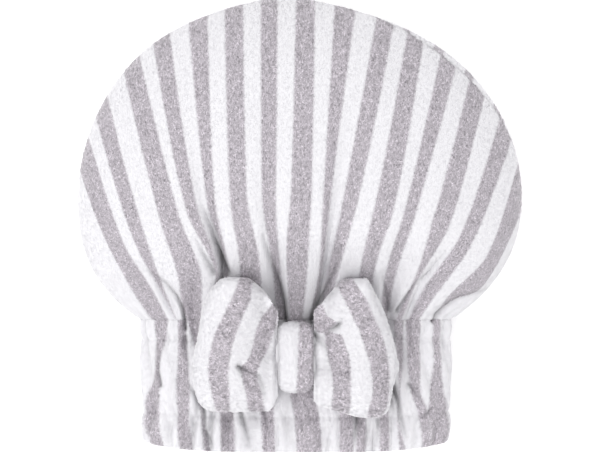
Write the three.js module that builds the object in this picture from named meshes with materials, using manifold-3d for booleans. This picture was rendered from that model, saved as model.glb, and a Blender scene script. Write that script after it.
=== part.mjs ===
// A hair-drying cap of striped towelling, lying on its back as it is put down: a puffed crown of two
// panels, a deep gathered band with elastic in it, and a soft bow tied over the front of the band.
// Millimetres. X runs across the cap, Y from the hem up to the crown, Z up from the surface it lies on.
// The origin is the middle of the cap on that surface.
import * as THREE from "three";
import { mergeVertices } from "three/addons/utils/BufferGeometryUtils.js";
import Module from "manifold-3d";

// Overall sizes
const CAP_LENGTH = 272; // hem to the top of the crown
const CROWN_WIDTH = 266;
const CROWN_DEPTH = 80; // how high the crown stands off the surface
const WIDEST_ABOVE_HEM = 152;
const SEAM_HEIGHT = 31; // the edge seam between the two crown panels
const CROWN_LEAN = 8.5; // the top of the crown sits this far to the left
const TIP_NARROWING = 0.42; // how much the very top of the crown is drawn in to a point
const CLOTH_WALL = 3;
const SEAM_GAP = 0.3; // between pieces that are sewn to each other
const REST_GAP = 1.6; // under the soft loops of the bow

// The gathered band
const BAND_LENGTH = 79;
const BAND_WIDTH = 187;
const BAND_DEPTH = 48;
const BAND_SHIFT = -2.4; // the band's middle against the crown's
const CASING_WALL = 6.5; // two layers of cloth and the elastic
const HEM_CORNER_RISE = 6;
const GATHER_DEPTH = 2.6;
const FOLD_DEPTH = 11; // of the deepest fold in the crown

// The bow
const BOW_BELOW_NECK = 22.5; // middle of the knot
const BOW_REACH = 62; // middle of the knot to a loop's outer fold
const BOW_HALF_HEIGHT = 42;
const BOW_PUFF = 33; // a loop's thickness at its fullest
const BOW_WALL = 4.5;
const BOW_CREASE_DEPTH = 3.5;
const KNOT_WIDTH = 21;
const KNOT_HEIGHT = 44;
const KNOT_DEPTH = 25;
const KNOT_WALL = 4;

// Each grey stripe of the crown's front. number counts from the middle one, top is the angle on the
// outline where it ends, and waist, foot and neck are its places across, as shares of half the width there.
const STRIPES = [
  { number: -7, top: 166, waist: -0.835, foot: -0.79, neck: -0.87 },
  { number: -6, top: 151.5, waist: -0.745, foot: -0.7, neck: -0.74 },
  { number: -5, top: 137.5, waist: -0.6, foot: -0.585, neck: -0.64 },
  { number: -4, top: 127.5, waist: -0.505, foot: -0.445, neck: -0.55 },
  { number: -3, top: 117.5, waist: -0.42, foot: -0.375, neck: -0.47 },
  { number: -2, top: 109, waist: -0.28, foot: -0.235, neck: -0.3 },
  { number: -1, top: 97, waist: -0.138, foot: -0.1, neck: -0.09 },
  { number: 0, top: 82.5, waist: 0.011, foot: -0.01, neck: 0 },
  { number: 1, top: 71, waist: 0.122, foot: 0.115, neck: 0.09 },
  { number: 2, top: 63, waist: 0.22, foot: 0.17, neck: 0.15 },
  { number: 3, top: 56, waist: 0.365, foot: 0.335, neck: 0.44 },
  { number: 4, top: 47.5, waist: 0.485, foot: 0.44, neck: 0.56 },
  { number: 5, top: 36, waist: 0.63, foot: 0.605, neck: 0.68 },
  { number: 6, top: 21, waist: 0.745, foot: 0.69, neck: 0.78 },
  { number: 7, top: 5, waist: 0.895, foot: 0.9, neck: 0.93 },
];
const WAIST_UP = 0.4; // how far up a stripe its waist and its foot are
const FOOT_UP = 0.15;
// Where the seam runs down each side, in stripes from the middle, and where it leaves the stripes' ends
const LEFT_EDGE = { number: -7.8, top: 190 };
const RIGHT_EDGE = { number: 7.6, top: -20 };

// The folds that run up from the band. at counts stripes from the middle, depth is a share of
// FOLD_DEPTH, reach is how far up the crown it runs, and width is in stripes.
const FRONT_FOLDS = [
  { at: -6.15, depth: 0.8, reach: 0.75, width: 0.36 },
  { at: -4.8, depth: 0.4, reach: 0.3, width: 0.3 },
  { at: -3.5, depth: 1, reach: 0.9, width: 0.42 },
  { at: -1.05, depth: 0.7, reach: 0.8, width: 0.34 },
  { at: 1.5, depth: 1, reach: 0.9, width: 0.42 },
  { at: 4.1, depth: 0.6, reach: 0.65, width: 0.36 },
  { at: 5.5, depth: 0.7, reach: 0.55, width: 0.32 },
  { at: 6.9, depth: 0.5, reach: 0.4, width: 0.3 },
];
// The back lies flat, with shorter folds at even places.
const BACK_FOLD_COUNT = 8;
const BACK_FOLDS = Array.from({ length: BACK_FOLD_COUNT }, (_, i) => ({
  at: THREE.MathUtils.lerp(-6.4, 6.4, i / (BACK_FOLD_COUNT - 1)),
  depth: i % 2 ? 0.5 : 0.7,
  reach: i % 2 ? 0.3 : 0.42,
  width: 0.34,
}));

// The band's rows from the hem up: along is a share of its length, swell is how far it stands out.
const BAND_ROWS = [
  { along: 0, swell: -2.4 },
  { along: 0.05, swell: -0.4 },
  { along: 0.16, swell: 0 },
  { along: 0.27, swell: -2 },
  { along: 0.4, swell: -0.3 },
  { along: 0.62, swell: 0 },
  { along: 0.85, swell: -2 },
  { along: 0.93, swell: -0.4 },
  { along: 1, swell: -1 },
];
const GATHERS = 26; // ribs round the band

// A loop of the bow from the knot out: out is a share of its length, top and bottom are shares of
// BOW_HALF_HEIGHT, and puff is a share of BOW_PUFF.
const LOOP_ROWS = [
  { out: 0, top: 0.41, bottom: -0.41, puff: 0.42 },
  { out: 0.05, top: 0.74, bottom: -0.52, puff: 0.46 },
  { out: 0.2, top: 1.03, bottom: -0.73, puff: 0.66 },
  { out: 0.4, top: 1.17, bottom: -0.82, puff: 0.88 },
  { out: 0.55, top: 1.17, bottom: -0.83, puff: 0.97 },
  { out: 0.7, top: 1.04, bottom: -0.79, puff: 1 },
  { out: 0.83, top: 0.8, bottom: -0.69, puff: 0.97 },
  { out: 0.92, top: 0.5, bottom: -0.56, puff: 0.9 },
  { out: 1, top: 0.14, bottom: -0.38, puff: 0.8 },
];
// Creases that run out from the knot over the front of each loop; across goes from -1 at the bottom to 1.
const LOOP_CREASES = [
  { side: -1, across: 0.05, reach: 0.5, width: 0.17 },
  { side: 1, across: 0.42, reach: 0.42, width: 0.15 },
  { side: 1, across: -0.22, reach: 0.5, width: 0.15 },
];

// How finely each piece is cut into facets
const PANEL_COLUMNS = 56;
const PANEL_ROWS = 12;
const ROW_CROWDING = 0.28; // the share of the rows, and of the columns, that crowd towards the edge
const COLUMN_CROWDING = 0.05;
const BAND_COLUMNS = 104;
const LOOP_STEPS = 20;
const LOOP_ACROSS = 9;
const KNOT_SIDES = 20;

const hemY = -CAP_LENGTH / 2;
const neckY = hemY + BAND_LENGTH;
const widestY = hemY + WIDEST_ABOVE_HEM;
const crownHalf = CROWN_WIDTH / 2;
const crownRise = CAP_LENGTH / 2 - widestY;
const bandHalf = BAND_WIDTH / 2;
const bandMidZ = BAND_DEPTH / 2;

const { clamp, lerp, degToRad, smoothstep } = THREE.MathUtils;

// A smooth curve through (xs, ys) that never overshoots between two neighbours.
function smoothCurve(xs, ys) {
  const last = xs.length - 1;
  const slope = xs.slice(1).map((x, i) => (ys[i + 1] - ys[i]) / (x - xs[i]));
  const tangent = xs.map((_, i) => {
    if (i === 0) return slope[0];
    if (i === last) return slope[last - 1];
    const [a, b] = [slope[i - 1], slope[i]];
    return a * b <= 0 ? 0 : (2 * a * b) / (a + b);
  });
  return (x) => {
    let i = 0;
    while (i < last - 1 && x > xs[i + 1]) i++;
    const h = xs[i + 1] - xs[i];
    const t = clamp((x - xs[i]) / h, 0, 1);
    const s = 1 - t;
    return (
      ys[i] * s * s * (1 + 2 * t) +
      ys[i + 1] * t * t * (3 - 2 * t) +
      h * (tangent[i] * t * s * s - tangent[i + 1] * t * t * s)
    );
  };
}

const columnOf = (rows, name) => rows.map((row) => row[name]);

// The crown's outline is half an ellipse above its widest line, drawn in to a soft point, and a
// fuller curve below it, which meets the band at its corners.
const LOWER_FULLNESS = 2.3;
const neckShare = bandHalf / crownHalf;
const crownDrop = (widestY - neckY) / (1 - neckShare ** LOWER_FULLNESS) ** (1 / LOWER_FULLNESS);

// The middle and half the width of the cap at height y
function spanAt(y) {
  if (y >= widestY) {
    const s = clamp((y - widestY) / crownRise, 0, 1);
    return [-CROWN_LEAN * s ** 3, crownHalf * Math.sqrt(1 - s * s) * (1 - TIP_NARROWING * s ** 12)];
  }
  const s = clamp((widestY - y) / crownDrop, 0, 1);
  const shift = BAND_SHIFT * smoothstep(widestY - y, 0, widestY - neckY);
  const half = crownHalf * (1 - s ** LOWER_FULLNESS) ** (1 / LOWER_FULLNESS);
  return [shift, y < neckY ? bandHalf : half];
}

function outline(degrees) {
  const angle = degToRad(degrees);
  const [c, s] = [Math.cos(angle), Math.sin(angle)];
  const y = widestY + (s >= 0 ? crownRise * s : -crownDrop * Math.abs(s) ** (2 / LOWER_FULLNESS));
  const [middle, half] = spanAt(y);
  return [middle + Math.sign(c) * half, y];
}

// 1 in the middle of a pillow, falling to 0 at its edge with a round shoulder; a high power is a flat one.
const pillow = (share, power) => Math.sqrt(Math.max(0, 1 - Math.min(1, share) ** power));

const FRONT_SHOULDER = 2.7;
const BACK_SHOULDER = 6;
const BAND_SHOULDER = 5;
const BLEND_SHARE = 0.8; // of the lower crown's height, over which the band's section becomes the crown's
const TABLE_PRESS = 1.5; // how far the back would sag past the surface it lies on

const crownBlend = (y) => smoothstep(y, neckY, neckY + BLEND_SHARE * (widestY - neckY));

// Height of the seam between the two panels
const seamHeight = (y) => lerp(bandMidZ, SEAM_HEIGHT, crownBlend(y));

// Height of the cap's smooth outer face at (x, y), with no folds: side 1 is the front, -1 the back.
function faceHeight(x, y, side) {
  const [middle, half] = spanAt(y);
  const share = Math.abs(x - middle) / Math.max(half, 1e-6);
  const band = bandMidZ * (1 + side * pillow(share, BAND_SHOULDER));
  if (y <= neckY) return band;
  const up = y >= widestY;
  const power = up ? 2 : LOWER_FULLNESS;
  const tall = Math.abs(y - widestY) / (up ? crownRise : crownDrop);
  const away = (Math.abs((x - middle) / crownHalf) ** power + tall ** power) ** (1 / power);
  const front = (CROWN_DEPTH - SEAM_HEIGHT) * pillow(away, FRONT_SHOULDER);
  const back = -(SEAM_HEIGHT + TABLE_PRESS) * pillow(away, BACK_SHOULDER);
  const crown = SEAM_HEIGHT + (side > 0 ? front : back);
  return Math.max(0, lerp(band, crown, crownBlend(y)));
}

// Where stripe `row` is, a share `up` of the way from the neck to its end on the outline
function stripePoint(row, up) {
  const [topX, topY] = outline(row.top);
  const y = lerp(neckY, topY, up);
  const across = (share, height) => {
    const [middle, half] = spanAt(lerp(neckY, topY, height));
    return middle + share * half;
  };
  const heights = [0, FOOT_UP, WAIST_UP, 1];
  const places = [
    across(row.neck, 0),
    across(row.foot, FOOT_UP),
    across(row.waist, WAIST_UP),
    topX,
  ];
  return [smoothCurve(heights, places)(up), y];
}

// The same for a side seam, which follows the outline itself
function edgePoint(edge, up) {
  const [, topY] = outline(edge.top);
  const y = lerp(neckY, topY, up);
  const [middle, half] = spanAt(y);
  return [middle + Math.sign(edge.number) * half, y];
}

const columns = [LEFT_EDGE, ...STRIPES, RIGHT_EDGE];
const columnNumbers = columnOf(columns, "number");
const topAngle = smoothCurve(columnNumbers, columnOf(columns, "top"));

function between(points, number) {
  return [0, 1].map((k) => smoothCurve(columnNumbers, columnOf(points, k))(number));
}

// The place on the crown of the thread `number` stripes from the middle, `up` of its way from the neck
function crownPlace(number, up) {
  const rows = (height) => [
    edgePoint(LEFT_EDGE, height),
    ...STRIPES.map((row) => stripePoint(row, height)),
    edgePoint(RIGHT_EDGE, height),
  ];
  const place = between(rows(up), number);
  const end = between(rows(1), number);
  const seam = outline(topAngle(number));
  return place.map((value, k) => value + (seam[k] - end[k]) * up ** 2);
}

const FOLD_AT_NECK = 0.35; // a fold's depth where the stitching holds it, as a share of its depth above
const FOLD_FULL = 0.14; // the share of its reach where it is deepest
const FOLD_FADE = 1.4; // how early it runs out

function foldDepth(folds, number, up) {
  let depth = 0;
  for (const fold of folds) {
    const along = up / fold.reach;
    if (along >= 1) continue;
    const opening = lerp(FOLD_AT_NECK, 1, smoothstep(along, 0, FOLD_FULL));
    const across = Math.exp(-(((number - fold.at) / fold.width) ** 2));
    depth += FOLD_DEPTH * fold.depth * opening * (1 - along) ** FOLD_FADE * across;
  }
  return depth;
}

// A point of the smooth crown. Past its edges it carries on round onto the other panel.
function crownPoint(number, up, side) {
  let face = side;
  if (up > 1) {
    up = 2 - up;
    face = -face;
  }
  for (const edge of [LEFT_EDGE, RIGHT_EDGE]) {
    const past = (number - edge.number) * Math.sign(edge.number);
    if (past > 0) {
      number = edge.number - past * Math.sign(edge.number);
      face = -face;
    }
  }
  const [x, y] = crownPlace(number, up);
  return new THREE.Vector3(x, y, faceHeight(x, y, face));
}

const STEP_ACROSS = 0.06;
const STEP_UP = 0.02;

// The way the smooth crown faces, from its slope across and its slope up
function crownNormal(number, up, side) {
  const across = crownPoint(number + STEP_ACROSS, up, side).sub(
    crownPoint(number - STEP_ACROSS, up, side),
  );
  const along = crownPoint(number, up + STEP_UP, side).sub(
    crownPoint(number, Math.max(0, up - STEP_UP), side),
  );
  const normal = across.cross(along).multiplyScalar(side);
  normal.y *= smoothstep(up, 0, FOOT_UP); // square to the band where they meet
  return normal.normalize();
}

// Steps that crowd towards the ends where the cloth turns over, as shares from 0 to 1
function crowded(count, crowdStart, crowdEnd) {
  const closeUp = (t, crowd) => (t < crowd ? (t * t) / (2 * crowd) : t - crowd / 2);
  const length = (t) =>
    t < 0.5
      ? closeUp(t, crowdStart)
      : 1 - crowdStart / 2 - crowdEnd / 2 - closeUp(1 - t, crowdEnd);
  return Array.from({ length: count + 1 }, (_, i) => length(i / count) / length(1));
}

// One solid from two grids of points, the outer face and the inner face of a sheet of cloth.
// A loop joins the last column to the first, and its two faces may have different numbers of rows.
function sheetSolid(outer, inner, loop = false) {
  const columns = outer[0].length;
  const points = [...outer.flat(), ...inner.flat()];
  const index = [];
  const quad = (a, b, c, d) => index.push(a, b, c, a, c, d);
  const outerAt = (i, j) => i * columns + (j % columns);
  const innerAt = (i, j) => (outer.length + i) * columns + (j % columns);
  const [outerEnd, innerEnd] = [outer.length - 1, inner.length - 1];
  for (let j = 0; j < (loop ? columns : columns - 1); j++) {
    for (let i = 0; i < outerEnd; i++) {
      quad(outerAt(i, j), outerAt(i, j + 1), outerAt(i + 1, j + 1), outerAt(i + 1, j));
    }
    for (let i = 0; i < innerEnd; i++) {
      quad(innerAt(i, j), innerAt(i + 1, j), innerAt(i + 1, j + 1), innerAt(i, j + 1));
    }
    quad(outerAt(0, j), innerAt(0, j), innerAt(0, j + 1), outerAt(0, j + 1));
    quad(outerAt(outerEnd, j), outerAt(outerEnd, j + 1), innerAt(innerEnd, j + 1), innerAt(innerEnd, j));
  }
  for (let i = 0; i < outerEnd && !loop; i++) {
    const end = columns - 1;
    quad(outerAt(i, 0), outerAt(i + 1, 0), innerAt(i + 1, 0), innerAt(i, 0));
    quad(outerAt(i, end), innerAt(i, end), innerAt(i + 1, end), outerAt(i + 1, end));
  }
  return solidFrom(points, index);
}

// A geometry from points and triangles, turned so that its faces point out
function solidFrom(points, index) {
  let volume = 0;
  for (let i = 0; i < index.length; i += 3) {
    const [a, b, c] = [0, 1, 2].map((k) => points[index[i + k]]);
    volume += a.dot(new THREE.Vector3().crossVectors(b, c));
  }
  if (volume < 0) index.reverse();
  const geometry = new THREE.BufferGeometry();
  geometry.setAttribute(
    "position",
    new THREE.Float32BufferAttribute(points.flatMap((p) => p.toArray()), 3),
  );
  geometry.setIndex(index);
  return geometry;
}

// One panel of the crown: a sheet of cloth with its folds, from the neck up to the edge seam
function crownPanel(side) {
  const folds = side > 0 ? FRONT_FOLDS : BACK_FOLDS;
  const ups = crowded(PANEL_ROWS, 0, ROW_CROWDING);
  const numbers = crowded(PANEL_COLUMNS, COLUMN_CROWDING, COLUMN_CROWDING).map((share) =>
    lerp(LEFT_EDGE.number, RIGHT_EDGE.number, share),
  );
  const [outer, inner] = [[], []];
  for (const up of ups) {
    const rows = [[], []];
    for (const number of numbers) {
      const edge = up === 1 || number === numbers[0] || number === numbers.at(-1);
      const smooth = crownPoint(number, up, side);
      const normal = crownNormal(number, up, side);
      const fold = edge ? 0 : foldDepth(folds, number, up);
      [fold, fold + CLOTH_WALL].forEach((depth, k) => {
        const point = smooth.clone().addScaledVector(normal, -depth);
        point.y = Math.max(point.y, neckY) + (up === 0 ? SEAM_GAP : 0);
        if (edge) point.z = seamHeight(smooth.y) + (side * SEAM_GAP) / 2;
        else if (side < 0) point.z = Math.max(point.z, k * CLOTH_WALL);
        rows[k].push(point);
      });
    }
    outer.push(rows[0]);
    inner.push(rows[1]);
  }
  return sheetSolid(outer, inner);
}

const GATHER_DRIFT = 0.35; // how far a rib wanders as it runs up the band, in ribs

// How far the band is drawn in round its edge by the gathers, from 0 on a rib to GATHER_DEPTH between two
function gatherDepth(turn, along) {
  const drift = GATHER_DRIFT * Math.sin(4 * Math.PI * turn + 5 * along);
  const wave = 0.5 - 0.5 * Math.cos(2 * Math.PI * (GATHERS * turn + drift));
  return GATHER_DEPTH * wave * wave;
}

// The band's flattened section, by the angle round it
function bandSection(angle, inset) {
  const across = Math.cos(angle);
  const high = Math.sign(Math.sin(angle)) * pillow(Math.abs(across), BAND_SHOULDER);
  return [(bandHalf - inset) * across, (bandMidZ - inset) * high];
}

// Angles that divide the section's outline into equal lengths
function evenAngles(count) {
  const steps = 1440;
  const angles = Array.from({ length: steps + 1 }, (_, i) => (2 * Math.PI * i) / steps);
  const lengths = [0];
  for (let i = 1; i <= steps; i++) {
    const [a, b] = [bandSection(angles[i - 1], 0), bandSection(angles[i], 0)];
    lengths.push(lengths[i - 1] + Math.hypot(b[0] - a[0], b[1] - a[1]));
  }
  return Array.from({ length: count }, (_, j) => {
    const wanted = (lengths[steps] * j) / count;
    return angles[lengths.findIndex((length) => length >= wanted)];
  });
}

// The band: a ring with a long flattened section, gathered outside and smooth inside
function gatheredBand() {
  const angles = evenAngles(BAND_COLUMNS);
  const ring = (along, insetAt) =>
    angles.map((angle, j) => {
      const [x, z] = bandSection(angle, insetAt(j / BAND_COLUMNS));
      const rise = HEM_CORNER_RISE * Math.abs(x / bandHalf) ** 4 * (1 - along) ** 2;
      return new THREE.Vector3(BAND_SHIFT + x, hemY + along * BAND_LENGTH + rise, bandMidZ + z);
    });
  const outer = BAND_ROWS.map((row) => ring(row.along, (turn) => gatherDepth(turn, row.along) - row.swell));
  const inner = [0, 0.5, 1].map((along) => ring(along, () => CASING_WALL));
  return sheetSolid(outer, inner, true);
}

const knotY = neckY - BOW_BELOW_NECK;
const knotZ = BAND_DEPTH + SEAM_GAP + KNOT_DEPTH / 2;
const waistHalfDepth = KNOT_DEPTH / 2 - KNOT_WALL - SEAM_GAP;
const waistHalfHeight = KNOT_HEIGHT / 2 - KNOT_WALL - SEAM_GAP;
const loopStart = KNOT_WIDTH / 2 + SEAM_GAP;

const loopTop = smoothCurve(columnOf(LOOP_ROWS, "out"), columnOf(LOOP_ROWS, "top"));
const loopBottom = smoothCurve(columnOf(LOOP_ROWS, "out"), columnOf(LOOP_ROWS, "bottom"));
const loopPuff = smoothCurve(columnOf(LOOP_ROWS, "out"), columnOf(LOOP_ROWS, "puff"));

const LOOP_EDGE = 0.6; // a loop's thickness at its open top and bottom edges, as a share of its middle
const LOOP_SHOULDER = 7; // how squarely its outer fold turns
const LOOP_SETTLE = 0.3; // how far out a loop comes down from the knot onto the band

function creaseDepth(side, out, across) {
  let depth = 0;
  for (const crease of LOOP_CREASES) {
    if (crease.side !== side || out >= crease.reach) continue;
    const fade = 1 - out / crease.reach;
    depth += BOW_CREASE_DEPTH * fade * Math.exp(-(((across - crease.across) / crease.width) ** 2));
  }
  return depth;
}

// A point of a loop: turn runs from -1 at the knot under the loop, to 0 at its outer fold, to 1 at
// the knot over it, and across from -1 at the bottom edge to 1 at the top one.
function loopPoint(side, turn, across, inset) {
  const out = 0.5 + 0.5 * Math.cos(Math.PI * turn);
  const x = side * (loopStart + out * (BOW_REACH - loopStart - inset));
  const y = BOW_HALF_HEIGHT * lerp(loopBottom(out), loopTop(out), (across + 1) / 2);
  const under = supportHeight(BAND_SHIFT + x, knotY + y) + REST_GAP;
  const atKnot = 1 - smoothstep(out, 0, LOOP_SETTLE);
  const floor = lerp(under, Math.max(under, knotZ - waistHalfDepth), atKnot);
  const edge = lerp(1, LOOP_EDGE, Math.abs(across) ** 3);
  const full = BOW_PUFF * loopPuff(out) * lerp(edge, 1, atKnot);
  const half = lerp(full / 2, waistHalfDepth, atKnot);
  const round = pillow(out, LOOP_SHOULDER);
  const crease = turn > 0 ? creaseDepth(side, out, across) * round : 0;
  const z = floor + half + Math.sign(turn) * (half - inset) * round - crease;
  return new THREE.Vector3(BAND_SHIFT + x, knotY + y, z);
}

// The highest that the band or the crown comes at (x, y), for what lies on it
function supportHeight(x, y) {
  return Math.max(BAND_DEPTH - 0.5, faceHeight(x, y, 1));
}

function bowLoop(side) {
  const grid = (inset) =>
    Array.from({ length: LOOP_ACROSS }, (_, i) =>
      Array.from({ length: LOOP_STEPS + 1 }, (__, j) =>
        loopPoint(side, (2 * j) / LOOP_STEPS - 1, (2 * i) / (LOOP_ACROSS - 1) - 1, inset),
      ),
    );
  return sheetSolid(grid(0), grid(BOW_WALL));
}

const CORNER_POWER = 0.7;
const KNOT_EDGE = 0.93; // the knot's size at its two edges, as a share of its middle
const KNOT_FLAT = 0.7; // the share of its width that is full size

// A soft-cornered section, swept along X through the stations given as { x, scale }
function sweptBar(stations, halfHeight, halfDepth, sides = KNOT_SIDES) {
  return stations.map(({ x, scale }) =>
    Array.from({ length: sides }, (_, j) => {
      const angle = (2 * Math.PI * j) / sides;
      const round = (value) => Math.sign(value) * Math.abs(value) ** CORNER_POWER;
      return new THREE.Vector3(
        BAND_SHIFT + x,
        knotY + halfHeight * scale * round(Math.cos(angle)),
        knotZ + halfDepth * scale * round(Math.sin(angle)),
      );
    }),
  );
}

function capped(rings) {
  const sides = rings[0].length;
  const points = rings.flat();
  const index = [];
  for (let i = 0; i < rings.length - 1; i++) {
    for (let j = 0; j < sides; j++) {
      const [a, b] = [i * sides + j, i * sides + ((j + 1) % sides)];
      index.push(a, b, b + sides, a, b + sides, a + sides);
    }
  }
  const last = (rings.length - 1) * sides;
  for (let j = 1; j < sides - 1; j++) {
    index.push(0, j + 1, j, last, last + j, last + j + 1);
  }
  return solidFrom(points, index);
}

// The knot: a strip wrapped round the waist of the bow
function knotRing() {
  const half = KNOT_WIDTH / 2;
  const stations = [
    { x: -half, scale: KNOT_EDGE },
    { x: -half * KNOT_FLAT, scale: 1 },
    { x: half * KNOT_FLAT, scale: 1 },
    { x: half, scale: KNOT_EDGE },
  ];
  const inside = stations.map(({ x }) => ({ x, scale: 1 }));
  return sheetSolid(
    sweptBar(stations, KNOT_HEIGHT / 2, KNOT_DEPTH / 2),
    sweptBar(inside, KNOT_HEIGHT / 2 - KNOT_WALL, KNOT_DEPTH / 2 - KNOT_WALL),
    true,
  );
}

const wasm = await Module();
wasm.setup();

function toManifold(geometry) {
  const bare = new THREE.BufferGeometry();
  bare.setAttribute("position", geometry.getAttribute("position"));
  bare.setIndex(geometry.index);
  const merged = mergeVertices(bare, 1e-4);
  return new wasm.Manifold(
    new wasm.Mesh({
      numProp: 3,
      vertProperties: merged.attributes.position.array,
      triVerts: new Uint32Array(merged.index.array),
    }),
  );
}

function fromManifold(solid) {
  const mesh = solid.getMesh();
  const geometry = new THREE.BufferGeometry();
  geometry.setAttribute("position", new THREE.BufferAttribute(new Float32Array(mesh.vertProperties), 3));
  geometry.setIndex(new THREE.BufferAttribute(new Uint32Array(mesh.triVerts), 1));
  return geometry;
}

// The bow is one strip: two hollow loops and the waist between them, which the knot goes round
function bowStrip() {
  const end = loopStart + BOW_WALL;
  const waist = sweptBar([{ x: -end, scale: 1 }, { x: end, scale: 1 }], waistHalfHeight, waistHalfDepth);
  return fromManifold(
    [bowLoop(-1), bowLoop(1)].map(toManifold).reduce((sum, loop) => sum.add(loop), toManifold(capped(waist))),
  );
}

const greyWhiteTowelling = { roughness: 1, metalness: 0 };
const materials = {
  crown: new THREE.MeshStandardMaterial({ color: 0xe2dfe3, ...greyWhiteTowelling }),
  band: new THREE.MeshStandardMaterial({ color: 0xdcd9de, ...greyWhiteTowelling }),
  bow: new THREE.MeshStandardMaterial({ color: 0xe0dde1, ...greyWhiteTowelling }),
};

const cap = new THREE.Group();
function addPiece(name, geometry, material) {
  const mesh = new THREE.Mesh(geometry, material);
  mesh.name = name;
  cap.add(mesh);
}

addPiece("crown_front_panel", crownPanel(1), materials.crown);
addPiece("crown_back_panel", crownPanel(-1), materials.crown);
addPiece("elastic_band", gatheredBand(), materials.band);
addPiece("bow", bowStrip(), materials.bow);
addPiece("bow_knot", knotRing(), materials.bow);

// The origin is the middle of the cap's underside.
const box = new THREE.Box3().setFromObject(cap);
const middle = box.getCenter(new THREE.Vector3());
cap.position.set(-middle.x, -middle.y, -box.min.z);

export default cap;
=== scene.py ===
# %% [markdown]
# # A hair-drying cap of striped towelling
# The cap lies on its back, as it is put down after use, and is seen from straight above. It has a
# puffed crown of two panels, a deep band with elastic in it, and a soft bow tied over the band.
# The CAD model gives the size and the place of each piece. This lesson makes each piece again as
# fine cloth, gives it its stripes, and grows the short pile of the towelling on it.

import math

import bpy
import numpy as np
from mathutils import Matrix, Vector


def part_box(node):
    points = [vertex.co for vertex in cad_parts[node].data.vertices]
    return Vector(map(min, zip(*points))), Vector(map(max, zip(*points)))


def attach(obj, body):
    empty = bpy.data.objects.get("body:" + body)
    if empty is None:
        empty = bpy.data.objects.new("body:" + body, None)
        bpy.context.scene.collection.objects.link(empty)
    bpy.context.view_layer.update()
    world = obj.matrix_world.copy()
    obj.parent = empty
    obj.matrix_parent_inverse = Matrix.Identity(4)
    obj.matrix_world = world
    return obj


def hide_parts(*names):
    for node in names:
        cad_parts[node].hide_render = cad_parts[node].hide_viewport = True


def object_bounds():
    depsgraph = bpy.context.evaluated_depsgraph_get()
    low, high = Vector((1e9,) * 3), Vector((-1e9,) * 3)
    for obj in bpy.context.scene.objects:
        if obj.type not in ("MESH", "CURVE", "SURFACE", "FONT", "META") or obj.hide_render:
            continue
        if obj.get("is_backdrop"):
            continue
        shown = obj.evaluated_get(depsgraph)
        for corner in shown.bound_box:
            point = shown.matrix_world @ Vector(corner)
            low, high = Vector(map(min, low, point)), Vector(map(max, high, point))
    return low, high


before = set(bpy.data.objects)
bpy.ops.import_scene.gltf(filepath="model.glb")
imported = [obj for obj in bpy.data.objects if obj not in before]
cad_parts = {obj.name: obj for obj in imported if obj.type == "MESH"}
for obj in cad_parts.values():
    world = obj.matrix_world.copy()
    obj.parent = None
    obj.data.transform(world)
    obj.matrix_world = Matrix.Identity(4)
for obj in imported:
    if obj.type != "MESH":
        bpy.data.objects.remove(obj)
cad_low, cad_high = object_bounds()
for node in sorted(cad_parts):
    low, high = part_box(node)
    print(node, [round(1000 * side, 1) for side in high - low], "mm")

# %% [markdown]
# ## Camera and room
# The picture of the cap was taken from straight above and from far away, so its lines hardly
# converge. A long lens at 2.5 m gives that. The floor is pale and glows a little, as a lit studio
# table does, so that no hard shadow is left on it.

# %% Set the camera over the cap
MM = 0.001
PICTURE_WIDTH = 603  # pixels
MM_PER_PIXEL = 0.6
SENSOR = 36
CAMERA_HEIGHT = 2.531
SHARP_HEIGHT = 0.031  # the height at which a pixel is MM_PER_PIXEL wide
CAMERA_X, CAMERA_Y = 1, -1  # mm

camera = bpy.data.objects.new("camera", bpy.data.cameras.new("camera"))
bpy.context.scene.collection.objects.link(camera)
camera.location = (CAMERA_X * MM, CAMERA_Y * MM, CAMERA_HEIGHT)
camera.data.sensor_width = SENSOR
camera.data.lens = SENSOR * (CAMERA_HEIGHT - SHARP_HEIGHT) / (PICTURE_WIDTH * MM_PER_PIXEL * MM)
bpy.context.scene.camera = camera
bpy.context.scene.view_settings.view_transform = "Standard"
print("lens", round(camera.data.lens, 1), "mm")

# %% Lay the floor
FLOOR_SIZE = 8
FLOOR_COLOUR = (0.93, 0.93, 0.93, 1)
FLOOR_ROUGHNESS = 0.9
FLOOR_GLOW = 0.3
PURE_WHITE = (1, 1, 1, 1)


def set_inputs(node, values):
    for name, value in values.items():
        node.inputs[name].default_value = value


floor_mesh = bpy.data.meshes.new("floor")
half = FLOOR_SIZE / 2
corners = [(-half, -half, 0), (half, -half, 0), (half, half, 0), (-half, half, 0)]
floor_mesh.from_pydata(corners, [], [(0, 1, 2, 3)])
floor = bpy.data.objects.new("floor", floor_mesh)
bpy.context.scene.collection.objects.link(floor)
paper = bpy.data.materials.new("floor_paper")
paper.use_nodes = True
set_inputs(paper.node_tree.nodes["Principled BSDF"], {
    "Base Color": FLOOR_COLOUR,
    "Roughness": FLOOR_ROUGHNESS,
    "Emission Color": PURE_WHITE,
    "Emission Strength": FLOOR_GLOW,
})
floor_mesh.materials.append(paper)
floor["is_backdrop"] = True

# %% Light it softly
ROOM_LIGHT = 0.95
WINDOW_POWER = 13
WINDOW_SIZE = 1.1
WINDOW_PLACE = (-0.6, -0.55, 1.8)

world = bpy.data.worlds.new("room")
bpy.context.scene.world = world
world.use_nodes = True
set_inputs(world.node_tree.nodes["Background"], {"Color": PURE_WHITE, "Strength": ROOM_LIGHT})
window_light = bpy.data.lights.new("window", "AREA")
window_light.shape = "DISK"
window_light.size = WINDOW_SIZE
window_light.energy = WINDOW_POWER
window = bpy.data.objects.new("window", window_light)
bpy.context.scene.collection.objects.link(window)
window.location = WINDOW_PLACE
window.rotation_euler = (-window.location).to_track_quat("-Z", "Y").to_euler()

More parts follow.
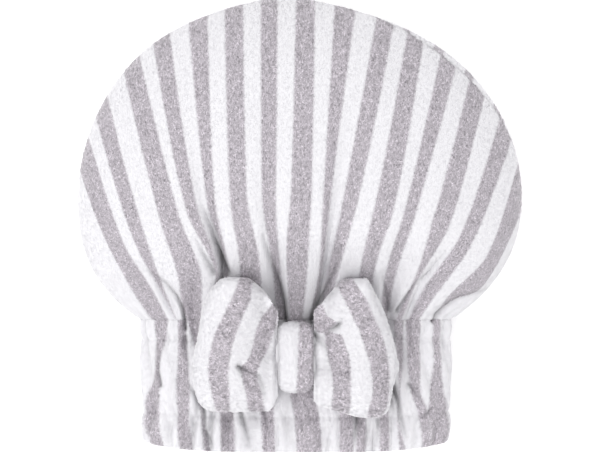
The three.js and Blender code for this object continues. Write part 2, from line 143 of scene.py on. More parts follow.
# %% [markdown]
# ## The cap's measures
# These are the measures of the CAD model, in millimetres, with the origin at the middle of the cap
# on the floor. X runs across, Y from the hem to the crown, Z up.

# %% Write down the measures
CAP_LENGTH = 272
CROWN_WIDTH = 266
CROWN_DEPTH = 80
WIDEST_ABOVE_HEM = 152
SEAM_HEIGHT = 31
CROWN_LEAN = 8.5
TIP_NARROWING = 0.42
TIP_SHARPNESS = 12
CLOTH_WALL = 3
SEAM_GAP = 0.3
BAND_LENGTH = 79
BAND_WIDTH = 187
BAND_DEPTH = 48
BAND_SHIFT = -2.4
LOWER_FULLNESS = 2.3

hem_y = -CAP_LENGTH / 2
neck_y = hem_y + BAND_LENGTH
widest_y = hem_y + WIDEST_ABOVE_HEM
crown_half = CROWN_WIDTH / 2
crown_rise = CAP_LENGTH / 2 - widest_y
band_half = BAND_WIDTH / 2
band_mid_z = BAND_DEPTH / 2
neck_share = band_half / crown_half
crown_drop = (widest_y - neck_y) / (1 - neck_share**LOWER_FULLNESS) ** (1 / LOWER_FULLNESS)


# %% Tools for smooth shapes
TINY = 1e-9
WANDER_FALL = 0.6  # how fast the quick waves of a random line get smaller


def mix(start, end, part):
    return start + (end - start) * part


def ease(value, start, end):
    """0 before start, 1 after end, and a soft step between them."""
    part = np.clip((value - start) / (end - start), 0, 1)
    return part * part * (3 - 2 * part)


def pillow(part, power):
    """1 in the middle of a pillow and 0 at its edge, with a rounder shoulder for a low power."""
    return np.sqrt(np.maximum(0, 1 - np.minimum(1, part) ** power))


def smooth_curve(knots, values, at):
    """A curve through the knots that never overshoots. values may hold one row per curve."""
    knots, values, at = (np.asarray(v, float) for v in (knots, values, at))
    step = np.diff(knots)
    slope = np.diff(values) / step
    product = slope[..., :-1] * slope[..., 1:]
    both = np.where(product > 0, slope[..., :-1] + slope[..., 1:], 1)
    inner = np.where(product > 0, 2 * product / both, 0)
    tangent = np.concatenate([slope[..., :1], inner, slope[..., -1:]], axis=-1)
    i = np.clip(np.searchsorted(knots, at) - 1, 0, len(step) - 1)
    t = np.clip((at - knots[i]) / step[i], 0, 1)
    s = 1 - t
    ends = values[..., i] * s * s * (1 + 2 * t) + values[..., i + 1] * t * t * (3 - 2 * t)
    return ends + step[i] * (tangent[..., i] * t * s * s - tangent[..., i + 1] * t * t * s)


def crowded(count, start, end):
    """Steps from 0 to 1 that crowd towards the ends, where the cloth turns over."""

    def near(x, crowd):
        return np.where(x < crowd, x * x / (2 * max(crowd, TINY)), x - crowd / 2)

    t = np.linspace(0, 1, count + 1)
    length = np.where(t < 0.5, near(t, start), 1 - start / 2 - end / 2 - near(1 - t, end))
    return length / length[-1]


def ripple(turns):
    """A wave from 0 to 1 and back in each whole turn."""
    return 0.5 - 0.5 * np.cos(2 * math.pi * turns)


def bell(distance, width):
    return np.exp(-((distance / width) ** 2))


def wander(number, seed, waves, longest=1.0):
    """A smooth random line along number, between about -1 and 1, the same one each time."""
    chance = np.random.default_rng(seed)
    total = 0
    for k in range(1, waves + 1):
        start = chance.uniform(0, 2 * math.pi)
        total = total + np.sin(2 * math.pi * k * number / longest + start) / k**WANDER_FALL
    return total / 2


# %% [markdown]
# ## Where the stripes run on the crown
# The towelling is woven with straight stripes, and the crown's panel is cut as a wide fan that is
# gathered at the neck. So the stripes spread towards the crown and close up at the band, some of
# them half hidden in a fold. Each grey stripe has a number from the middle, and the cloth between
# them is found by its number: 2.5 is the middle of the white between stripes 2 and 3.

# %% Chart the grey stripes
# number, angle on the outline where it ends in degrees, place across as a share of half the width
# at the waist, foot and neck of the crown, share of grey at the waist, foot and neck
CROWN_CHART = [
    (-7, 166, -0.822, -0.785, -0.855, 0.48, 0.76, 0.8),
    (-6, 153, -0.732, -0.705, -0.765, 0.45, 0.22, 0),
    (-5, 137.5, -0.573, -0.531, -0.665, 0.64, 0.7, 1),
    (-4, 127.5, -0.482, -0.395, -0.55, 0.56, 0.2, 0.2),
    (-3, 117.2, -0.398, -0.352, -0.47, 0.38, 0.32, 0.4),
    (-2, 108.2, -0.272, -0.225, -0.3, 0.57, 0.74, 0.7),
    (-1, 97, -0.138, -0.1, -0.09, 0.44, 0.38, 0.4),
    (0, 81.9, 0.011, -0.01, 0, 0.7, 0.9, 0.9),
    (1, 71, 0.122, 0.115, 0.09, 0.33, 0.2, 0.2),
    (2, 61.7, 0.222, 0.17, 0.15, 0.49, 0.45, 0.4),
    (3, 54.8, 0.383, 0.347, 0.44, 0.63, 0.48, 0.5),
    (4, 45.4, 0.488, 0.465, 0.56, 0.41, 0.45, 0.45),
    (5, 35.5, 0.635, 0.597, 0.657, 0.57, 0.22, 0.4),
    (6, 20.5, 0.753, 0.695, 0.752, 0.42, 0.5, 0.5),
    (7, 5.5, 0.926, 0.915, 0.909, 0.62, 0.9, 0.2),
]
GREY_AT_TOP = 0.5
HEIGHTS = (0, 0.15, 0.4, 1)  # of the neck, foot, waist and top, as shares of a stripe's length
LEFT_EDGE = (-7.8, 190)
RIGHT_EDGE = (7.6, -20)
FIRST_STRIPE, LAST_STRIPE = CROWN_CHART[0][0], CROWN_CHART[-1][0]
print(len(CROWN_CHART), "grey stripes on the front of the crown")


# %% Find a thread's place on the crown
def span_at(y):
    """The middle and half the width of the cap at height y."""
    y = np.asarray(y, float)
    up = np.clip((y - widest_y) / crown_rise, 0, 1)
    down = np.clip((widest_y - y) / crown_drop, 0, 1)
    upper = crown_half * np.sqrt(1 - up * up) * (1 - TIP_NARROWING * up**TIP_SHARPNESS)
    lower = crown_half * (1 - down**LOWER_FULLNESS) ** (1 / LOWER_FULLNESS)
    lower = np.where(y < neck_y, band_half, lower)
    shift = BAND_SHIFT * ease(widest_y - y, 0, widest_y - neck_y)
    above = y >= widest_y
    return np.where(above, -CROWN_LEAN * up**3, shift), np.where(above, upper, lower)


def outline(degrees):
    angle = np.radians(degrees)
    c, s = np.cos(angle), np.sin(angle)
    y = widest_y + np.where(s >= 0, crown_rise * s, -crown_drop * np.abs(s) ** (2 / LOWER_FULLNESS))
    middle, half_width = span_at(y)
    return middle + np.sign(c) * half_width, y


def crown_knots(ups):
    """The places of the two edges and of every stripe, one row for each height in ups."""
    across, along = [], []
    for number, top in (LEFT_EDGE, RIGHT_EDGE):
        y = mix(neck_y, outline(top)[1], ups)
        middle, half_width = span_at(y)
        across.append(middle + math.copysign(1, number) * half_width)
        along.append(y)
    for number, top, waist, foot, neck, *_ in CROWN_CHART:
        top_x, top_y = outline(top)
        places = []
        for height, part in zip(HEIGHTS, (neck, foot, waist)):
            middle, half_width = span_at(mix(neck_y, top_y, height))
            places.append(middle + part * half_width)
        across.insert(-1, smooth_curve(HEIGHTS, [*places, top_x], ups))
        along.insert(-1, mix(neck_y, top_y, ups))
    return np.stack(across, axis=-1), np.stack(along, axis=-1)


knot_numbers = [LEFT_EDGE[0], *(row[0] for row in CROWN_CHART), RIGHT_EDGE[0]]
knot_tops = [LEFT_EDGE[1], *(row[1] for row in CROWN_CHART), RIGHT_EDGE[1]]


def crown_places(numbers, ups):
    """X and Y of the threads with these numbers at these heights, one row for each height."""
    seam = outline(smooth_curve(knot_numbers, knot_tops, numbers))
    places = []
    for knots, ends, edge in zip(crown_knots(ups), crown_knots(np.ones(1)), seam):
        place = smooth_curve(knot_numbers, knots, numbers)
        end = smooth_curve(knot_numbers, ends[0], numbers)
        places.append(place + (edge - end) * ups[:, None] ** 2)
    return places


# %% Give the crown its height
FRONT_SHOULDER = 2.7
BACK_SHOULDER = 6
BAND_SHOULDER = 5
BLEND_SHARE = 0.8
TABLE_PRESS = 1.5


def crown_blend(y):
    return ease(y, neck_y, neck_y + BLEND_SHARE * (widest_y - neck_y))


def seam_height(y):
    return mix(band_mid_z, SEAM_HEIGHT, crown_blend(y))


def face_height(x, y, side):
    """Height of the cap's smooth face: side 1 is its front, -1 its back."""
    middle, half_width = span_at(y)
    across = np.abs(x - middle) / np.maximum(half_width, TINY)
    band = band_mid_z * (1 + side * pillow(across, BAND_SHOULDER))
    above = y >= widest_y
    power = np.where(above, 2, LOWER_FULLNESS)
    tall = np.abs(y - widest_y) / np.where(above, crown_rise, crown_drop)
    away = (np.abs((x - middle) / crown_half) ** power + tall**power) ** (1 / power)
    front = (CROWN_DEPTH - SEAM_HEIGHT) * pillow(away, FRONT_SHOULDER)
    back = -(SEAM_HEIGHT + TABLE_PRESS) * pillow(away, BACK_SHOULDER)
    crown = SEAM_HEIGHT + (front if side > 0 else back)
    return np.where(y <= neck_y, band, np.maximum(0, mix(band, crown, crown_blend(y))))


# %% [markdown]
# ## Folds
# The gathering at the neck throws folds up into the crown. A few are wide and soft, and they are in
# the CAD model too. Others are sharp creases a millimetre or two wide, which show as thin dark lines
# near the band. Cloth simulation could make folds too, but not these ones, so they are listed one by one.

# %% Chart the folds of the crown
FOLD_DEPTH = 11
# place in stripes from the middle, share of FOLD_DEPTH, reach up the crown, width in stripes
FRONT_FOLDS = [
    (-5.95, 0.35, 0.5, 0.26),
    (-4.8, 0.3, 0.3, 0.3),
    (-3.3, 0.9, 0.85, 0.4),
    (-1.05, 0.7, 0.8, 0.34),
    (1.5, 1, 0.9, 0.42),
    (4.1, 0.5, 0.65, 0.36),
    (5.5, 0.45, 0.5, 0.28),
    (6.9, 0.4, 0.4, 0.3),
]
BACK_FOLD_ENDS, BACK_FOLD_COUNT = (-6.4, 6.4), 8
BACK_FOLD_WIDTH = 0.34
LOW_FOLD, HIGH_FOLD = (0.5, 0.3), (0.7, 0.42)  # share of FOLD_DEPTH, reach
BACK_FOLDS = [
    (place, *(LOW_FOLD if i % 2 else HIGH_FOLD), BACK_FOLD_WIDTH)
    for i, place in enumerate(np.linspace(*BACK_FOLD_ENDS, BACK_FOLD_COUNT))
]
FOLD_AT_NECK = 0.35
FOLD_FULL = 0.14
FOLD_FADE = 1.4


def fold_depth(folds, number, up):
    """How deep the soft folds are, in mm."""
    depth = np.zeros(np.broadcast(number, up).shape)
    for at, share, reach, width in folds:
        along = np.minimum(up / reach, 1)
        opening = mix(FOLD_AT_NECK, 1, ease(along, 0, FOLD_FULL))
        depth += FOLD_DEPTH * share * opening * (1 - along) ** FOLD_FADE * bell(number - at, width)
    return depth


# %% Chart the creases
FRONT_MM_PER_PIXEL = 0.592  # on the front of the cap, which is nearer to the camera than its middle
PICTURE_MIDDLE = (301.5, 226)
FAINT_END = 0.2  # share of a crease's depth and darkness at its faint end
CREASE_PROFILE = 1.5
# depth in mm, half width in mm, darkness of the painted shade, then places in the picture from the
# faint end to the deep one
FRONT_CREASES = [
    (4.5, 1.1, 0.85, [(147, 271), (165, 284), (176, 297), (182, 310), (184, 330)]),
    (2.5, 2, 0.5, [(183, 378), (187, 366), (184, 350), (183, 338)]),
    (5, 1.5, 0.9, [(206, 212), (211, 226), (216, 243), (221, 256), (228, 274)]),
    (3, 1.5, 0.5, [(196, 240), (204, 256), (214, 274)]),
    (5.5, 1.2, 0.9, [(263, 236), (270, 258), (279, 282), (284, 302), (286, 322)]),
    (5.5, 1.5, 0.8, [(339, 246), (335, 272), (326, 290), (317, 306), (312, 322)]),
    (3.5, 1, 0.5, [(446, 252), (430, 272), (416, 285), (407, 297), (397, 312)]),
    (3.5, 1, 0.6, [(502, 285), (483, 292), (459, 299), (447, 307), (438, 315), (436, 322)]),
    (2.5, 1.4, 0.5, [(382, 272), (386, 290), (389, 310)]),
    (2.5, 1.4, 0.6, [(159, 350), (157, 362), (156.5, 374), (159, 388)]),
    (3, 1.3, 0.9, [(188, 386), (194, 394), (199, 404)]),
    (4, 1.5, 1, [(206, 446), (204, 424), (202, 408)]),
    (2, 1.2, 0.8, [(213, 450), (209, 443), (205, 434)]),
    (4, 1.5, 1, [(407, 440), (399, 405), (393, 388)]),
    (2, 1.3, 0.6, [(421, 404), (417, 396), (410, 386)]),
    (2, 1.2, 0.5, [(418, 424), (426, 421), (434, 414)]),
    (3, 1.3, 0.8, [(250, 448), (246, 432), (240, 412)]),
    (2.5, 1.3, 0.8, [(267, 432), (265, 420), (262, 406)]),
    (3, 1.3, 0.8, [(354, 448), (358, 414)]),
    (1.5, 1.1, 0.5, [(377, 446), (379, 422)]),
    (1.5, 1.3, 0.5, [(398, 420), (394, 408), (390, 396)]),
]


def on_cap(places, mm_per_pixel=FRONT_MM_PER_PIXEL):
    """Places in the picture as X and Y on the cap in mm, one row for each."""
    across, down = np.array(places, float).T
    x = (across - PICTURE_MIDDLE[0]) * mm_per_pixel + CAMERA_X
    y = (PICTURE_MIDDLE[1] - down) * mm_per_pixel + CAMERA_Y
    return np.stack([x, y], axis=-1)


def nearness(x, y, places, width, mm_per_pixel):
    """1 at the deep end of a line through the places in the picture, 0 away from the line."""
    spots = on_cap(places, mm_per_pixel)
    nearest, reached = np.full(x.shape, np.inf), np.zeros(x.shape)
    for k, (start, end) in enumerate(zip(spots, spots[1:])):
        line = end - start
        t = np.clip(((x - start[0]) * line[0] + (y - start[1]) * line[1]) / (line @ line), 0, 1)
        away = np.hypot(x - start[0] - t * line[0], y - start[1] - t * line[1])
        reached = np.where(away < nearest, (k + t) / (len(spots) - 1), reached)
        nearest = np.minimum(away, nearest)
    return mix(FAINT_END, 1, reached) * np.exp(-((nearest / width) ** CREASE_PROFILE))


def crease_marks(chart, x, y, mm_per_pixel=FRONT_MM_PER_PIXEL):
    """How deep the creases are, and how much painted shade they get."""
    depth, shade = np.zeros(x.shape), np.zeros(x.shape)
    for deep, width, dark, places in chart:
        near = nearness(x, y, places, width, mm_per_pixel)
        depth += deep * near
        shade = np.maximum(shade, dark * near)
    return depth, shade


print(len(FRONT_FOLDS), "soft folds and", len(FRONT_CREASES), "creases on the front of the cap")

# %% [markdown]
# ## Gathers
# The crown is sewn to the band rib for rib, so the two share one rule at the neck: the ribs run a
# little way up into the crown, and the crown's folds run a little way down into the band.

# %% Chart the band
BAND_HEIGHTS = (0, 0.26, 0.45, 0.64, 1)  # the hem, the lower stitches, the puff, and the neck
# each grey stripe's places at those heights, as shares of half the width, and its widths in mm
BAND_CHART = [
    ((-0.91, -0.924, -0.905, -0.885, -0.86), (10, 9.3, 7, 2.6, 8.7)),
    ((-0.703, -0.722, -0.72, -0.722, -0.73), (8, 7, 8.5, 6.6, 4.5)),
    ((-0.567, -0.6, -0.62, -0.615, -0.65), (4, 1.2, 2.5, 2, 8)),
    ((-0.433, -0.44, -0.45, -0.455, -0.47), (8.3, 8.3, 9, 9, 6)),
    ((-0.17, -0.18, -0.2, -0.21, -0.3), (7.3, 8, 10, 10, 9)),
    ((0.087, 0.07, 0.04, 0.03, 0), (15, 15, 14.5, 14, 12)),
    ((0.324, 0.322, 0.318, 0.315, 0.3), (8.4, 8.2, 8, 8, 7)),
    ((0.414, 0.42, 0.427, 0.43, 0.44), (5.7, 5.3, 5, 5, 6)),
    ((0.568, 0.565, 0.56, 0.56, 0.56), (6, 5.5, 5, 5, 5)),
    ((0.683, 0.655, 0.66, 0.667, 0.655), (3.5, 0.8, 0.5, 3, 6.5)),
    ((0.84, 0.821, 0.765, 0.755, 0.752), (5.4, 5.5, 5.4, 7.5, 8.5)),
    ((0.927, 0.915, 0.9, 0.903, 0.909), (11, 12, 7.5, 4.5, 4.5)),
]
BACK_STRIPES = 12
# share of the band's length, how far the cloth stands out there in mm
BAND_ROWS = [
    (0, -1.6), (0.04, 0), (0.16, 0.6), (0.27, -0.3), (0.4, 0.5),
    (0.62, 0.7), (0.85, -0.3), (0.93, 0.4), (1, 0),
]
STITCH_LINES = (0.265, 0.848)
CASING_WALL = 6.5
HEM_CORNER_RISE = 6
GATHERS = 26
GATHER_DEPTH = 2.6
GATHER_SIZE, SIZE_CHANCE = 0.75, 0.5
GATHER_DRIFT, DRIFT_LEAN, DRIFT_CHANCE = 0.35, 5, 0.5


def band_section(angle, inset):
    """A ring round the band, drawn in evenly by inset."""
    across = np.cos(angle)
    high = np.sign(np.sin(angle)) * pillow(np.abs(across), BAND_SHOULDER)
    return (band_half - inset) * across, (band_mid_z - inset) * high


def gathered_section(angle, depth):
    """A ring round the band, drawn in by depth along the way that the cloth faces."""
    x, z = band_section(angle, 0)
    tilt_x = BAND_SHOULDER / band_half * np.sign(x) * np.abs(x / band_half) ** (BAND_SHOULDER - 1)
    tilt_z = 2 / band_mid_z * z / band_mid_z
    steep = np.hypot(tilt_x, tilt_z)
    return x - depth * tilt_x / steep, z - depth * tilt_z / steep


# %% Gather the band
PUCKER_DEPTH = 1.1
STITCH_DEPTH = 0.7
STITCH_WIDTH = 1.3  # mm
PUCKERS = 61
PUCKER_REACH = 6  # mm
PUCKER_LEAN, PUCKER_BEND = 9, 0.4
FRILL_DEPTH = 2.2
FRILL_SHARPNESS = 6
FRILL_START, FRILL_FULL = -0.02, 0.12  # below the lower stitches, as shares of the band's length


def gather_depth(turn, along):
    """How far the gathers draw the band in, in mm, at each place round and up it."""
    drift = GATHER_DRIFT * np.sin(4 * math.pi * turn + DRIFT_LEAN * along)
    drift = drift + DRIFT_CHANCE * wander(turn, seed=3, waves=9)
    size = GATHER_SIZE + SIZE_CHANCE * wander(turn, seed=4, waves=12)
    depth = GATHER_DEPTH * ripple(GATHERS * turn + drift) ** 2 * size
    bend = PUCKER_BEND * np.sin(PUCKER_LEAN * along)
    fine = ripple(PUCKERS * turn + wander(turn, seed=5, waves=14) + bend)
    for line in STITCH_LINES:
        away = np.abs(along - line) * BAND_LENGTH
        depth += PUCKER_DEPTH * fine**2 * bell(away, PUCKER_REACH)
        depth += STITCH_DEPTH * bell(away, STITCH_WIDTH)
    frill = (1 - np.abs(wander(turn, seed=6, waves=20, longest=0.5))) ** FRILL_SHARPNESS
    depth += FRILL_DEPTH * frill * ease(STITCH_LINES[0] - along, FRILL_START, FRILL_FULL)
    return depth


# %% Let the crown and the band meet
NECK_FADE = 8  # mm that the crown's folds run down into the band
RIB_FADE = 15  # mm that the ribs run up into the crown
SECTION_STEPS = 4000

neck_shares = [-1, *(neck for _, _, _, _, neck, *_ in CROWN_CHART), 1]
section_angles = np.linspace(0, 2 * math.pi, SECTION_STEPS + 1)
section_x, section_z = band_section(section_angles, 0)
section_length = np.concatenate([[0], np.cumsum(np.hypot(np.diff(section_x), np.diff(section_z)))])
section_turns = section_length / section_length[-1]


def ribs_at_neck(share, side):
    """Depth of the band's top edge at a share of half its width from the middle."""
    angle = np.arccos(np.clip(share, -1, 1))
    turn = np.interp(angle if side > 0 else 2 * math.pi - angle, section_angles, section_turns)
    return gather_depth(turn, np.ones_like(turn)) - BAND_ROWS[-1][1]


def folds_at_neck(share, side):
    """Depth of the crown's folds where they reach the neck."""
    number = smooth_curve(neck_shares, knot_numbers, share)
    return fold_depth(FRONT_FOLDS if side > 0 else BACK_FOLDS, number, 0)


# %% [markdown]
# ## A sheet of cloth
# Every piece is a grid of points with an outer face and an inner one, joined round the border, so
# that it is closed as real cloth is. Each point also has notes, which the material and the pile
# read: how far inside a grey stripe it is in millimetres, how much painted shade a crease or a
# valley puts on it, and its place in the weave.


# %% Tools that turn grids into cloth
def lengths_of(vectors):
    return np.linalg.norm(vectors, axis=-1, keepdims=True)


def unit(vectors):
    return vectors / np.maximum(lengths_of(vectors), TINY)


def step_across(grid, loop):
    if loop:
        return (np.roll(grid, -1, axis=1) - np.roll(grid, 1, axis=1)) / 2
    return np.gradient(grid, axis=1)


def facing(grid, side=1, loop=False):
    """The way the surface faces at each point of a grid."""
    return unit(np.cross(step_across(grid, loop), np.gradient(grid, axis=0))) * side


def grid_faces(rows, columns, start, loop, turned):
    i, j = np.meshgrid(np.arange(rows - 1), np.arange(columns if loop else columns - 1), indexing="ij")
    after = (j + 1) % columns
    quads = [i * columns + j, i * columns + after, (i + 1) * columns + after, (i + 1) * columns + j]
    quads = np.stack(quads, axis=-1).reshape(-1, 4) + start
    return quads[:, ::-1] if turned else quads


def border_faces(rows, columns, inner, loop):
    """The strips that join the outer grid's border to the inner one's."""
    j = np.arange(columns if loop else columns - 1)
    after = (j + 1) % columns
    top = (rows - 1) * columns
    strips = [
        np.stack([j, j + inner, after + inner, after], axis=-1),
        np.stack([j + top, after + top, after + top + inner, j + top + inner], axis=-1),
    ]
    if not loop:
        i = np.arange(rows - 1) * columns
        right = i + columns - 1
        strips.append(np.stack([i, i + columns, i + columns + inner, i + inner], axis=-1))
        strips.append(np.stack([right, right + inner, right + columns + inner, right + columns], axis=-1))
    return np.concatenate(strips)


def add_mesh(name, points, faces, notes, tone, smooth=True):
    """An object from points in mm, with the notes that the material reads."""
    mesh = bpy.data.meshes.new(name)
    sides = faces.shape[1]
    mesh.vertices.add(len(points))
    mesh.vertices.foreach_set("co", (points * MM).astype(np.float32).ravel())
    mesh.loops.add(faces.size)
    mesh.loops.foreach_set("vertex_index", faces.astype(np.int32).ravel())
    mesh.polygons.add(len(faces))
    mesh.polygons.foreach_set("loop_start", np.arange(0, faces.size, sides, dtype=np.int32))
    mesh.update(calc_edges=True)
    mesh.polygons.foreach_set("use_smooth", np.broadcast_to(smooth, len(faces)))
    for label, values in (("stripe", notes[:, 0]), ("shade", notes[:, 1]), ("tone", tone)):
        mark = mesh.attributes.new(label, "FLOAT", "POINT")
        mark.data.foreach_set("value", values.astype(np.float32).ravel())
    mark = mesh.attributes.new("weave", "FLOAT_VECTOR", "POINT")
    mark.data.foreach_set("vector", notes[:, 2:].astype(np.float32).ravel())
    made = bpy.data.objects.new(name, mesh)
    bpy.context.scene.collection.objects.link(made)
    return made


def as_notes(stripe, shade, across, along):
    """Five numbers for each point: stripe, shade, and X, Y and Z in the weave."""
    return np.stack(np.broadcast_arrays(stripe, shade, across, along, 0), axis=-1).astype(float)


def cloth_parts(outer, inner, notes, side=1, loop=False, crisp=False):
    """The points, faces and notes of a closed sheet between two grids. crisp keeps its edge sharp."""
    rows, columns, _ = outer.shape
    inner_start, turned = rows * columns, side < 0
    points = np.concatenate([outer.reshape(-1, 3), inner.reshape(-1, 3)])
    border = border_faces(rows, columns, inner_start, loop)
    faces = np.concatenate([
        grid_faces(rows, columns, 0, loop, turned),
        grid_faces(rows, columns, inner_start, loop, not turned),
        border[:, ::-1] if turned else border,
    ])
    smooth = np.arange(len(faces)) < len(faces) - len(border) * crisp
    return points, faces, np.concatenate([notes.reshape(-1, notes.shape[-1])] * 2), smooth


GROUND_SHADE_TONE = -0.5  # painted shade: the ground of the cloth is darkened, as it lies in the shade of its pile


def make_cloth(name, parts):
    starts = np.cumsum([0] + [len(part[0]) for part in parts])
    faces = np.concatenate([part[1] + start for part, start in zip(parts, starts)])
    points, notes, smooth = (np.concatenate([part[k] for part in parts]) for k in (0, 2, 3))
    made = add_mesh(name, points, faces, notes, np.full(len(points), GROUND_SHADE_TONE), smooth)
    size = points.max(0) - points.min(0)
    print(name, [round(float(v), 1) for v in size], "mm,", 2 * len(faces), "triangles")
    return made


# %% [markdown]
# ## Pile
# Towelling is covered with short loops of yarn that lean over and lie in small tufts. Blender's
# hair would do it, but single leaf-shaped blades of one triangle each are lighter and are real
# mesh. Tufts are longer along the weave than across it, and each leans its own way, so they make
# the fine streaks of the cloth. Each blade faces as the cloth does, so that it is lit softly.

# %% A tool that grows the pile
BLADE_LENGTH = 1.35
BLADE_WIDTH = 0.32
BLADE_LEAN = 16  # degrees up from the cloth
TUFT_TURN = 70  # degrees to either side of the weave
TURNED_BACK = 0.35  # share of the tufts that lean the other way
TURN_CHANCE, LEAN_CHANCE, TONE_CHANCE = 0.35, 0.12, 0.25
TUFT_TONE = 1.1
LENGTHS, WIDTHS = (0.7, 1.15), (0.7, 1.3)  # shares of BLADE_LENGTH and BLADE_WIDTH
LIT_AS_CLOTH = 0.9
TUFT_ACROSS = 0.8
TUFT_ALONG = 1.7
LOWEST_POINT = 0.15  # keeps the pile off the floor
UNDERSIDE = -0.3  # a steeper face than this is seen only from below


def chance_of(cells, salt):
    """A fixed random number from 0 to 1 for each whole-number cell."""
    mixed = np.sin(cells[:, 0] * 127.1 + cells[:, 1] * 311.7 + salt * 74.7) * 43758.5453
    return mixed - np.floor(mixed)


def grow_pile(grid, notes, side, count, seed, loop=False):
    """The blades on the outer face of a grid: points, facing, notes and tone."""
    normal = facing(grid, side, loop)
    along = unit(np.gradient(grid, axis=0))
    spread = [np.roll(v, -1, axis=1) if loop else v[:, 1:] for v in (grid, normal, along, notes)]
    here = [v if loop else v[:, :-1] for v in (grid, normal, along, notes)]
    corners = [(a[:-1], b[:-1], b[1:], a[1:]) for a, b in zip(here, spread)]
    a, b, c, d = corners[0]
    size = lengths_of(np.cross(c - a, d - b))[..., 0] / 2
    chance = np.random.default_rng(seed)
    cell = chance.choice(size.size, count, p=size.ravel() / size.sum())
    u, v = chance.random((2, count, 1))

    def at_root(four):
        a, b, c, d = (part.reshape(-1, part.shape[-1])[cell] for part in four)
        return mix(mix(a, b, u), mix(d, c, u), v)

    root, up, forward, note = (at_root(four) for four in corners)
    up, forward = unit(up), unit(forward)
    sideways = np.cross(up, forward)
    place = note[:, 2:4] / (TUFT_ACROSS, TUFT_ALONG)
    place[:, 1] += chance_of(np.floor(place) * (1, 0), 3)
    tuft = np.floor(place)
    turn = np.radians(TUFT_TURN) * (2 * chance_of(tuft, 1) - 1) + chance.normal(0, TURN_CHANCE, count)
    turn += math.pi * (chance_of(tuft, 5) < TURNED_BACK)
    lean = np.radians(BLADE_LEAN) + chance.normal(0, LEAN_CHANCE, count)
    turn, lean = turn[:, None], lean[:, None]
    level = np.cos(lean) * (np.cos(turn) * forward + np.sin(turn) * sideways)
    way = level + np.sin(lean) * up
    reach = BLADE_LENGTH * chance.uniform(*LENGTHS, (count, 1))
    flank = unit(np.cross(way, up)) * BLADE_WIDTH / 2 * chance.uniform(*WIDTHS, (count, 1))
    points = np.stack([root - flank, root + flank, root + way * reach], axis=1)
    face = np.cross(points[:, 1] - points[:, 0], points[:, 2] - points[:, 0])
    wrong = (face * up).sum(1) < 0
    points[wrong] = points[wrong][:, [1, 0, 2]]
    face[wrong] *= -1
    points[..., 2] = np.maximum(points[..., 2], LOWEST_POINT)
    kept = (up[:, 2] < UNDERSIDE) | (face[:, 2] > 0)
    tone = TUFT_TONE * (2 * chance_of(tuft, 2) - 1) + chance.normal(0, TONE_CHANCE, count)
    lit = unit(LIT_AS_CLOTH * up + (1 - LIT_AS_CLOTH) * unit(face))
    return tuple(v[kept] for v in (points, lit, note, tone))


def make_pile(name, parts):
    points, *rest = (np.concatenate(values) for values in zip(*parts))
    lit, notes, tones = (np.repeat(values, 3, axis=0) for values in rest)
    faces = np.arange(3 * len(points)).reshape(-1, 3)
    made = add_mesh(name, points.reshape(-1, 3), faces, notes, tones)
    made.data.normals_split_custom_set_from_vertices(lit.astype(np.float32))
    print(name, len(faces), "blades")
    return made


# %% [markdown]
# ## Towelling
# One material serves every piece, because the whole cap is cut from one cloth. It mixes the white
# and the grey by the distance to the stripe's edge. The edge is a little ragged, since pile of one
# colour leans over the other. Fine streaks follow the weave, and a soft sheen lifts the rims.

# %% Mix the towelling
WHITE = (0.82, 0.811, 0.838, 1)
GREY = (0.55, 0.513, 0.556, 1)
PAINTED_SHADE_COLOUR = (0.1, 0.095, 0.105, 1)  # painted shade: the colour that the shade mark darkens the cloth towards
EDGE_SOFT = 1  # mm
EDGE_RAGGED = 0.8
STREAK_ACROSS = 0.65
STREAK_ALONG = 1.6
STREAK_CONTRAST = 3
GREY_STREAK = 0.4
WHITE_STREAK = 0.012
SHEEN, SHEEN_ROUGHNESS = 0.45, 0.5
SPECULAR = 0.2
ROUGHNESS = (0.85, 1)
BUMP_ACROSS, BUMP_ALONG = 0.8, 2.4
BUMP_STRENGTH, BUMP_DISTANCE = 0.5, 0.0008

towelling = bpy.data.materials.new("striped_towelling")
towelling.use_nodes = True
nodes, links = towelling.node_tree.nodes, towelling.node_tree.links
shader = nodes["Principled BSDF"]


def add_node(kind, inputs, output=0, **settings):
    """A shader node. Each input is a value or the output of another node."""
    node = nodes.new("ShaderNode" + kind)
    for name, value in settings.items():
        setattr(node, name, value)
    for name, value in inputs.items():
        if isinstance(value, bpy.types.NodeSocket):
            links.new(value, node.inputs[name])
        else:
            node.inputs[name].default_value = value
    return node.outputs[output]


def read_mark(name, output="Fac"):
    return add_node("Attribute", {}, output, attribute_name=name)


def calculate(operation, *values):
    return add_node("Math", dict(enumerate(values)), operation=operation)


def weave_noise(across, along, detail):
    """Noise that is stretched along the weave. across and along are its grain in mm."""
    grain = {0: read_mark("weave", "Vector"), 1: (1 / across, 1 / along, 1)}
    scale = add_node("VectorMath", grain, operation="MULTIPLY")
    return add_node("TexNoise", {"Vector": scale, "Scale": 1, "Detail": detail}, "Fac")


def remap(value, low, high, new_low, new_high, curve="LINEAR"):
    ends = {"From Min": low, "From Max": high, "To Min": new_low, "To Max": new_high}
    return add_node("MapRange", {"Value": value, **ends}, "Result", interpolation_type=curve)


def mix_colours(factor, first, second):
    return add_node("Mix", {"Factor": factor, "A": first, "B": second}, "Result", data_type="RGBA")


# %% Colour it
def shade_of(colour, change):
    return tuple(min(1, part * (1 + change)) for part in colour[:3]) + (1,)


